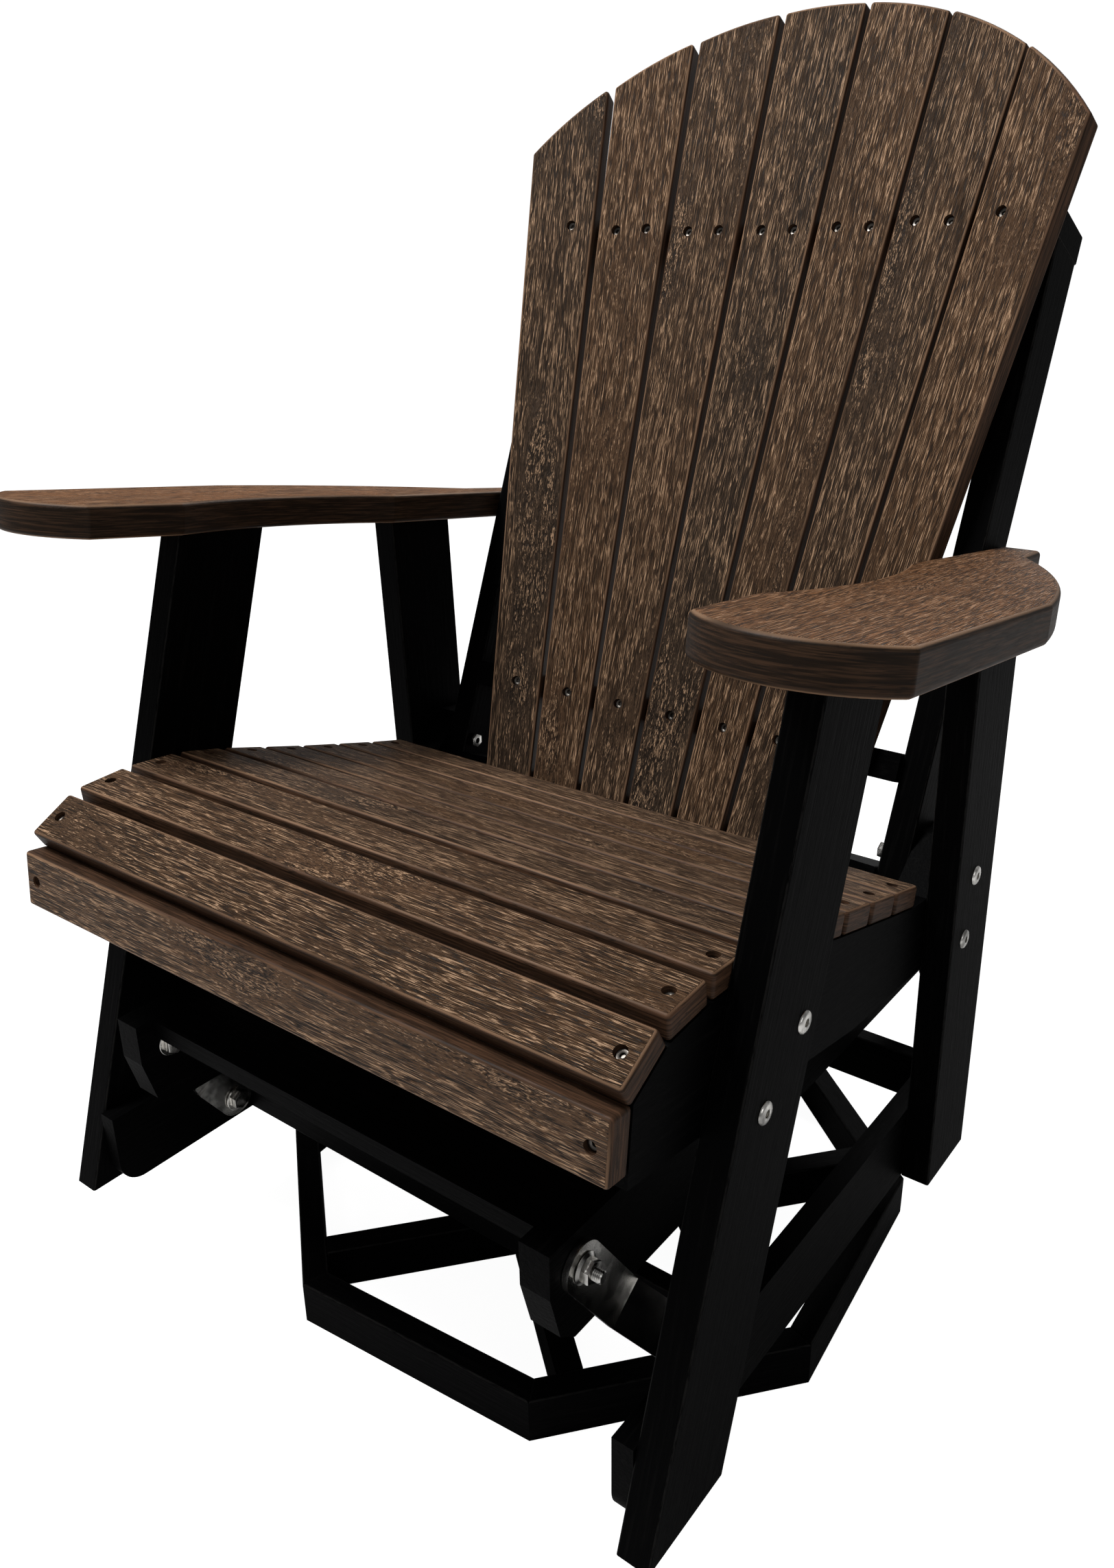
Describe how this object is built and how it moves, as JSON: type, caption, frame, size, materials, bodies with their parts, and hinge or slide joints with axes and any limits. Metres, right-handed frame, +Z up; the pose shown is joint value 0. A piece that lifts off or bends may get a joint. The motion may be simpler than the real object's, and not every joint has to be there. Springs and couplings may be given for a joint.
{
  "type": "adirondack swivel glider chair",
  "caption": "Slatted fan-back garden armchair that glides on four steel links and swivels on a low eight-sided base.",
  "frame": {"origin": "on the floor, on the vertical axis about which the seat swivels", "axes": "+Z up, the front of the seat faces -Y, +X is the sitter's left"},
  "size_m": [0.813, 0.7809, 1.1002],
  "materials": {
    "brown_lumber": "embossed woodgrain",
    "black_lumber": "fine grain, satin",
    "stainless_steel": "satin",
    "screw_steel": "satin",
    "bearing_steel": "zinc plated"
  },
  "bodies": {
    "base": {"base_inner_boards": "black_lumber", "base_long_board_near": "black_lumber", "base_ring_board_1": "black_lumber", "base_ring_board_2": "black_lumber", "base_ring_board_3": "black_lumber", "base_ring_board_4": "black_lumber", "base_ring_board_5": "black_lumber", "base_ring_board_6": "black_lumber", "base_ring_board_7": "black_lumber", "base_ring_board_8": "black_lumber", "base_top_board": "black_lumber", "pedestal_boards": "black_lumber", "swivel_bearing_lower": "bearing_steel"},
    "swivel_frame": {"pivot_bolts_upper": "stainless_steel", "swivel_bearing_upper": "bearing_steel", "swivel_deck_boards": "black_lumber", "swivel_rail_left": "black_lumber", "swivel_rail_right": "black_lumber"},
    "link_front_left": {"glide_link_front_left": "stainless_steel"},
    "link_front_right": {"glide_link_front_right": "stainless_steel"},
    "link_rear_left": {"glide_link_rear_left": "stainless_steel"},
    "link_rear_right": {"glide_link_rear_right": "stainless_steel"},
    "seat": {"arm_left": "brown_lumber", "arm_right": "brown_lumber", "back_post_left": "black_lumber", "back_post_right": "black_lumber", "back_rail_bottom": "black_lumber", "back_rail_middle": "black_lumber", "back_rail_top": "black_lumber", "back_screws": "screw_steel", "back_slat_1": "brown_lumber", "back_slat_2": "brown_lumber", "back_slat_3": "brown_lumber", "back_slat_4": "brown_lumber", "back_slat_5": "brown_lumber", "back_slat_6": "brown_lumber", "back_slat_7": "brown_lumber", "carriage_cross_front": "black_lumber", "carriage_cross_rear": "black_lumber", "carriage_rail_left": "black_lumber", "carriage_rail_right": "black_lumber", "leg_bolts": "stainless_steel", "leg_front_left": "black_lumber", "leg_front_right": "black_lumber", "leg_rear_left": "black_lumber", "leg_rear_right": "black_lumber", "pivot_bolts_lower": "stainless_steel", "seat_apron": "brown_lumber", "seat_rail_left": "black_lumber", "seat_rail_right": "black_lumber", "seat_screws": "screw_steel", "seat_slat_1": "brown_lumber", "seat_slat_2": "brown_lumber", "seat_slat_3": "brown_lumber", "seat_slat_4": "brown_lumber", "seat_slat_5": "brown_lumber", "seat_slat_6": "brown_lumber", "seat_slat_7": "brown_lumber", "seat_slat_8": "brown_lumber", "seat_slat_9": "brown_lumber"}
  },
  "joints": [
    {"name": "swivel", "type": "hinge", "parent": "base", "child": "swivel_frame", "pos_m": [0, 0, 0.268], "axis": [0, 0, 1], "continuous": true},
    {"name": "swing_front_left", "type": "hinge", "parent": "swivel_frame", "child": "link_front_left", "pos_m": [0.2343, -0.3224, 0.2648], "axis": [1, 0, 0], "range_deg": [-10, 10]},
    {"name": "swing_front_right", "type": "hinge", "parent": "swivel_frame", "child": "link_front_right", "pos_m": [-0.2343, -0.3224, 0.2648], "axis": [1, 0, 0], "range_deg": [-10, 10]},
    {"name": "swing_rear_left", "type": "hinge", "parent": "swivel_frame", "child": "link_rear_left", "pos_m": [0.2343, 0.3224, 0.2648], "axis": [1, 0, 0], "range_deg": [-7.95, 7.95]},
    {"name": "swing_rear_right", "type": "hinge", "parent": "swivel_frame", "child": "link_rear_right", "pos_m": [-0.2343, 0.3224, 0.2648], "axis": [1, 0, 0], "range_deg": [-7.95, 7.95]},
    {"name": "seat_glide", "type": "hinge", "parent": "link_front_left", "child": "seat", "pos_m": [0.2743, -0.2194, 0.1152], "axis": [1, 0, 0], "range_deg": [-14.3, 14.3]}
  ],
  "couplings": [
    {"joint": "swing_front_right", "follows": "swing_front_left", "ratio": 1},
    {"joint": "swing_rear_left", "follows": "swing_front_left", "ratio": 0.79},
    {"joint": "swing_rear_right", "follows": "swing_front_left", "ratio": 0.79},
    {"joint": "seat_glide", "follows": "swing_front_left", "ratio": -1.4253}
  ]
}
